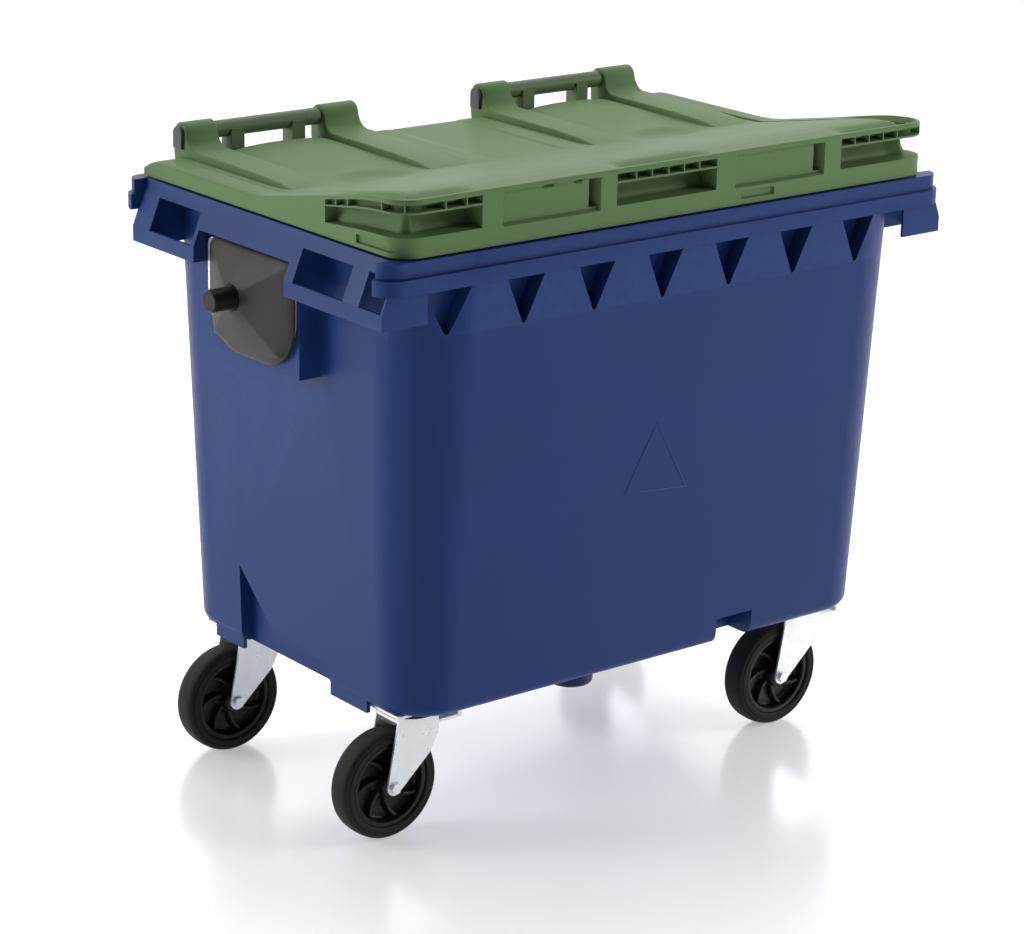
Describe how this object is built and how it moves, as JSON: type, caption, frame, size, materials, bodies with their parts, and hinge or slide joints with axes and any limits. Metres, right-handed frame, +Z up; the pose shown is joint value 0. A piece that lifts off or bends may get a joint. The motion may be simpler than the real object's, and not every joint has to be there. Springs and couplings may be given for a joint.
{
  "type": "litter bin",
  "caption": "Four-wheeled litter bin: tapered plastic tub with a comb rim, side trunnions and drain, hinged flat lid with grips, and swivel castors with brakes.",
  "frame": {"origin": "on the floor, under the middle of the rim", "axes": "+X to the right, -Y towards the front with the comb pockets and lid grips, +Z up"},
  "size_m": [1.37, 0.8, 1.172],
  "materials": {
    "tub_blue": "moulded, fine grain",
    "lid_green": "moulded, fine grain",
    "handle_green": "moulded",
    "cover_grey": "moulded",
    "black_plastic": "moulded",
    "pin_grey": "moulded",
    "zinc_steel": "zinc plated",
    "wheel_black": "moulded",
    "tyre_rubber": "solid rubber",
    "plug_blue": "moulded",
    "seal_rubber": "moulded"
  },
  "bodies": {
    "root": {"tub": "tub_blue", "rim_front": "tub_blue", "rim_left": "tub_blue", "rim_right": "tub_blue", "trunnion_plate_left": "zinc_steel", "trunnion_sleeve_left": "black_plastic", "trunnion_cover_left": "cover_grey", "hinge_handle_left": "handle_green", "trunnion_plate_right": "zinc_steel", "trunnion_sleeve_right": "black_plastic", "trunnion_cover_right": "cover_grey", "hinge_handle_right": "handle_green", "trunnion_bolts": "zinc_steel", "handle_screws": "zinc_steel", "castor_bolts": "zinc_steel", "drain_seal": "seal_rubber", "castor_plate_front_left": "zinc_steel", "king_pin_front_left": "zinc_steel", "castor_plate_front_right": "zinc_steel", "king_pin_front_right": "zinc_steel", "castor_plate_rear_left": "zinc_steel", "king_pin_rear_left": "zinc_steel", "castor_plate_rear_right": "zinc_steel", "king_pin_rear_right": "zinc_steel"},
    "lid": {"lid": "lid_green", "hinge_pin_left": "pin_grey", "hinge_pin_right": "pin_grey"},
    "drain_plug": {"drain_plug": "plug_blue"},
    "castor_front_left": {"swivel_bearing_front_left": "zinc_steel", "castor_fork_front_left": "zinc_steel", "dust_guard_front_left": "black_plastic", "axle_bolt_front_left": "zinc_steel", "brake_pin_front_left": "zinc_steel"},
    "wheel_front_left": {"wheel_rim_front_left": "wheel_black", "tyre_front_left": "tyre_rubber", "hub_bush_front_left": "black_plastic"},
    "brake_front_left": {"brake_pedal_front_left": "zinc_steel"},
    "castor_front_right": {"swivel_bearing_front_right": "zinc_steel", "castor_fork_front_right": "zinc_steel", "dust_guard_front_right": "black_plastic", "axle_bolt_front_right": "zinc_steel", "brake_pin_front_right": "zinc_steel"},
    "wheel_front_right": {"wheel_rim_front_right": "wheel_black", "tyre_front_right": "tyre_rubber", "hub_bush_front_right": "black_plastic"},
    "brake_front_right": {"brake_pedal_front_right": "zinc_steel"},
    "castor_rear_left": {"swivel_bearing_rear_left": "zinc_steel", "castor_fork_rear_left": "zinc_steel", "dust_guard_rear_left": "black_plastic", "axle_bolt_rear_left": "zinc_steel"},
    "wheel_rear_left": {"wheel_rim_rear_left": "wheel_black", "tyre_rear_left": "tyre_rubber", "hub_bush_rear_left": "black_plastic"},
    "castor_rear_right": {"swivel_bearing_rear_right": "zinc_steel", "castor_fork_rear_right": "zinc_steel", "dust_guard_rear_right": "black_plastic", "axle_bolt_rear_right": "zinc_steel"},
    "wheel_rear_right": {"wheel_rim_rear_right": "wheel_black", "tyre_rear_right": "tyre_rubber", "hub_bush_rear_right": "black_plastic"}
  },
  "joints": [
    {"name": "lid_hinge", "type": "hinge", "parent": "root", "child": "lid", "pos_m": [0, 0.37, 1.138], "axis": [-1, 0, 0], "range_deg": [0, 260]},
    {"name": "drain_turn", "type": "hinge", "parent": "root", "child": "drain_plug", "pos_m": [-0.12, -0.27, 0.225], "axis": [0, 0, 1], "range_deg": [0, 90]},
    {"name": "swivel_front_left", "type": "hinge", "parent": "root", "child": "castor_front_left", "pos_m": [-0.456, -0.244, 0.219], "axis": [0, 0, 1], "continuous": true},
    {"name": "wheel_front_left_spin", "type": "hinge", "parent": "castor_front_left", "child": "wheel_front_left", "pos_m": [-0.513, -0.244, 0.1], "axis": [0, 1, 0], "continuous": true},
    {"name": "brake_front_left_press", "type": "hinge", "parent": "castor_front_left", "child": "brake_front_left", "pos_m": [-0.428, -0.244, 0.201], "axis": [0, 1, 0], "range_deg": [0, 12]},
    {"name": "swivel_front_right", "type": "hinge", "parent": "root", "child": "castor_front_right", "pos_m": [0.456, -0.244, 0.219], "axis": [0, 0, 1], "continuous": true},
    {"name": "wheel_front_right_spin", "type": "hinge", "parent": "castor_front_right", "child": "wheel_front_right", "pos_m": [0.399, -0.244, 0.1], "axis": [0, 1, 0], "continuous": true},
    {"name": "brake_front_right_press", "type": "hinge", "parent": "castor_front_right", "child": "brake_front_right", "pos_m": [0.484, -0.244, 0.201], "axis": [0, 1, 0], "range_deg": [0, 12]},
    {"name": "swivel_rear_left", "type": "hinge", "parent": "root", "child": "castor_rear_left", "pos_m": [-0.456, 0.244, 0.219], "axis": [0, 0, 1], "continuous": true},
    {"name": "wheel_rear_left_spin", "type": "hinge", "parent": "castor_rear_left", "child": "wheel_rear_left", "pos_m": [-0.513, 0.244, 0.1], "axis": [0, 1, 0], "continuous": true},
    {"name": "swivel_rear_right", "type": "hinge", "parent": "root", "child": "castor_rear_right", "pos_m": [0.456, 0.244, 0.219], "axis": [0, 0, 1], "continuous": true},
    {"name": "wheel_rear_right_spin", "type": "hinge", "parent": "castor_rear_right", "child": "wheel_rear_right", "pos_m": [0.399, 0.244, 0.1], "axis": [0, 1, 0], "continuous": true}
  ]
}
